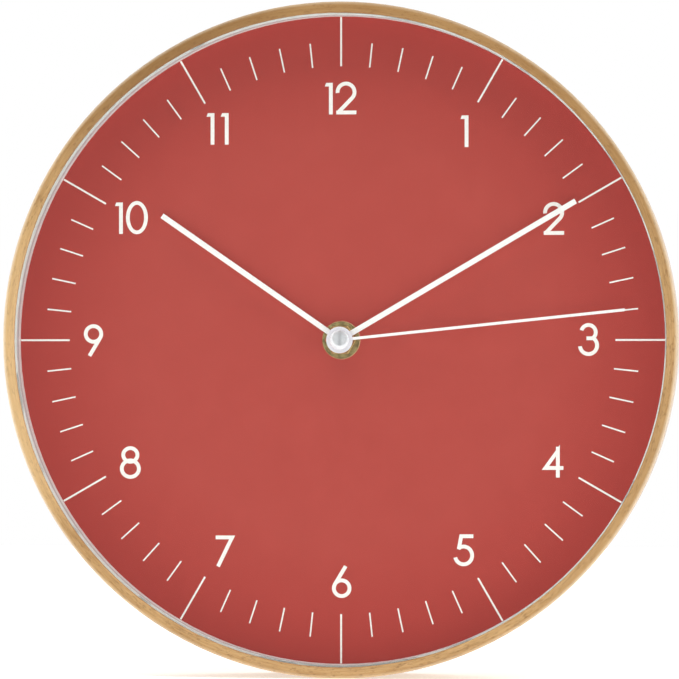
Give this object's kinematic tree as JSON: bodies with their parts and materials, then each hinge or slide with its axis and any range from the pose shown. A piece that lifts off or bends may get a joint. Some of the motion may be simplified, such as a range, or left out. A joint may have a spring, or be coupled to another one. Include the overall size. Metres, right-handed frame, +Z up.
{
  "type": "wall clock",
  "caption": "Round wall clock with a bent-wood case, flat clear lens, upright numerals, plain bar hands and a quartz movement in its open back.",
  "frame": {"origin": "centre of the bounding box, on the hand axis and half-way through the case's depth", "axes": "+X right from the front, +Y from the dial towards the wall, +Z up to 12 o'clock"},
  "size_m": [0.3, 0.042, 0.3],
  "materials": {
    "bent_beech": "satin lacquer",
    "clear_glass": "clear polished",
    "white_plastic": "semi-gloss",
    "grey_seal": "matte",
    "red_card": "matte print",
    "white_ink": "matte print",
    "fibreboard": "raw pressed fibre",
    "black_rubber": "matte",
    "brass": "turned",
    "white_enamel": "white satin paint on thin sheet",
    "polished_cap": "polished",
    "black_plastic": "moulded, fine texture",
    "white_acetal": "moulded",
    "dark_magnet": "ground",
    "grey_plastic": "moulded",
    "silicon_steel": "stamped sheet",
    "amber_nylon": "moulded",
    "copper_wire": "enamelled copper wire",
    "green_board": "solder-resist",
    "nickel_can": "nickel plate",
    "black_epoxy": "cured drop",
    "nickel_strip": "nickel plate",
    "battery_metal": "bare metal ends",
    "battery_print": "plain printed film",
    "pine": "sawn, unfinished",
    "zinc_steel": "bright zinc plate"
  },
  "bodies": {
    "clock_case": {"wood_frame": "bent_beech", "glass_lens": "clear_glass", "inner_ring": "white_plastic", "ring_seal": "grey_seal", "dial_face": "red_card", "dial_numerals": "white_ink", "dial_minute_track": "white_ink", "dial_board": "fibreboard", "rubber_gasket": "black_rubber", "fixing_washer": "brass", "fixing_nut": "brass", "threaded_bush": "brass", "movement_housing": "black_plastic", "movement_cover": "black_plastic", "middle_plate": "grey_plastic", "train_bridge": "grey_plastic", "stator_plate": "silicon_steel", "coil_core": "silicon_steel", "coil_bobbin": "amber_nylon", "coil_winding": "copper_wire", "circuit_board": "green_board", "quartz_crystal": "nickel_can", "timer_chip": "black_epoxy", "positive_contact": "nickel_strip", "negative_contact": "nickel_strip", "glue_blocks": "pine", "hanger_block": "pine", "keyhole_hanger": "zinc_steel", "hanger_screws": "zinc_steel"},
    "second_hand": {"second_hand": "white_enamel", "second_hand_cap": "polished_cap", "second_wheel": "white_acetal"},
    "minute_hand": {"minute_hand": "white_enamel", "centre_wheel": "white_acetal"},
    "hour_hand": {"hour_hand": "white_enamel", "hour_wheel": "white_acetal"},
    "minute_wheel": {"minute_wheel": "white_acetal"},
    "third_wheel": {"third_wheel": "white_acetal"},
    "fifth_wheel": {"fifth_wheel": "white_acetal"},
    "rotor": {"rotor_pinion": "white_acetal", "rotor_magnet": "dark_magnet"},
    "setting_knob": {"setting_shaft": "white_acetal", "setting_knob": "grey_plastic"},
    "battery": {"battery_can": "battery_metal", "battery_sleeve": "battery_print"}
  },
  "joints": [
    {"name": "second_spin", "type": "hinge", "parent": "clock_case", "child": "second_hand", "pos_m": [0, 0, 0], "axis": [0, 1, 0], "continuous": true},
    {"name": "fifth_spin", "type": "hinge", "parent": "clock_case", "child": "fifth_wheel", "pos_m": [0.0035, 0, 0.00606], "axis": [0, 1, 0], "continuous": true},
    {"name": "rotor_spin", "type": "hinge", "parent": "clock_case", "child": "rotor", "pos_m": [0.00505, 0, 0.01186], "axis": [0, 1, 0], "continuous": true},
    {"name": "third_spin", "type": "hinge", "parent": "clock_case", "child": "third_wheel", "pos_m": [-0.00837, 0, -0.00148], "axis": [0, 1, 0], "continuous": true},
    {"name": "minute_spin", "type": "hinge", "parent": "clock_case", "child": "minute_hand", "pos_m": [0, 0, 0], "axis": [0, 1, 0], "continuous": true},
    {"name": "minute_wheel_spin", "type": "hinge", "parent": "clock_case", "child": "minute_wheel", "pos_m": [0.00624, 0, -0.0036], "axis": [0, 1, 0], "continuous": true},
    {"name": "hour_spin", "type": "hinge", "parent": "clock_case", "child": "hour_hand", "pos_m": [0, 0, 0], "axis": [0, 1, 0], "continuous": true},
    {"name": "setting_spin", "type": "hinge", "parent": "clock_case", "child": "setting_knob", "pos_m": [0.01344, 0, -0.0036], "axis": [0, 1, 0], "continuous": true},
    {"name": "battery_lift", "type": "slide", "parent": "clock_case", "child": "battery", "axis": [0, 1, 0], "range_m": [0, 0.02]}
  ],
  "couplings": [
    {"joint": "fifth_spin", "follows": "second_spin", "ratio": -6},
    {"joint": "rotor_spin", "follows": "second_spin", "ratio": 30},
    {"joint": "third_spin", "follows": "second_spin", "ratio": -0.13333},
    {"joint": "minute_spin", "follows": "second_spin", "ratio": 0.016667},
    {"joint": "minute_wheel_spin", "follows": "second_spin", "ratio": -0.0055556},
    {"joint": "hour_spin", "follows": "second_spin", "ratio": 0.0013889},
    {"joint": "setting_spin", "follows": "second_spin", "ratio": 0.016667}
  ]
}
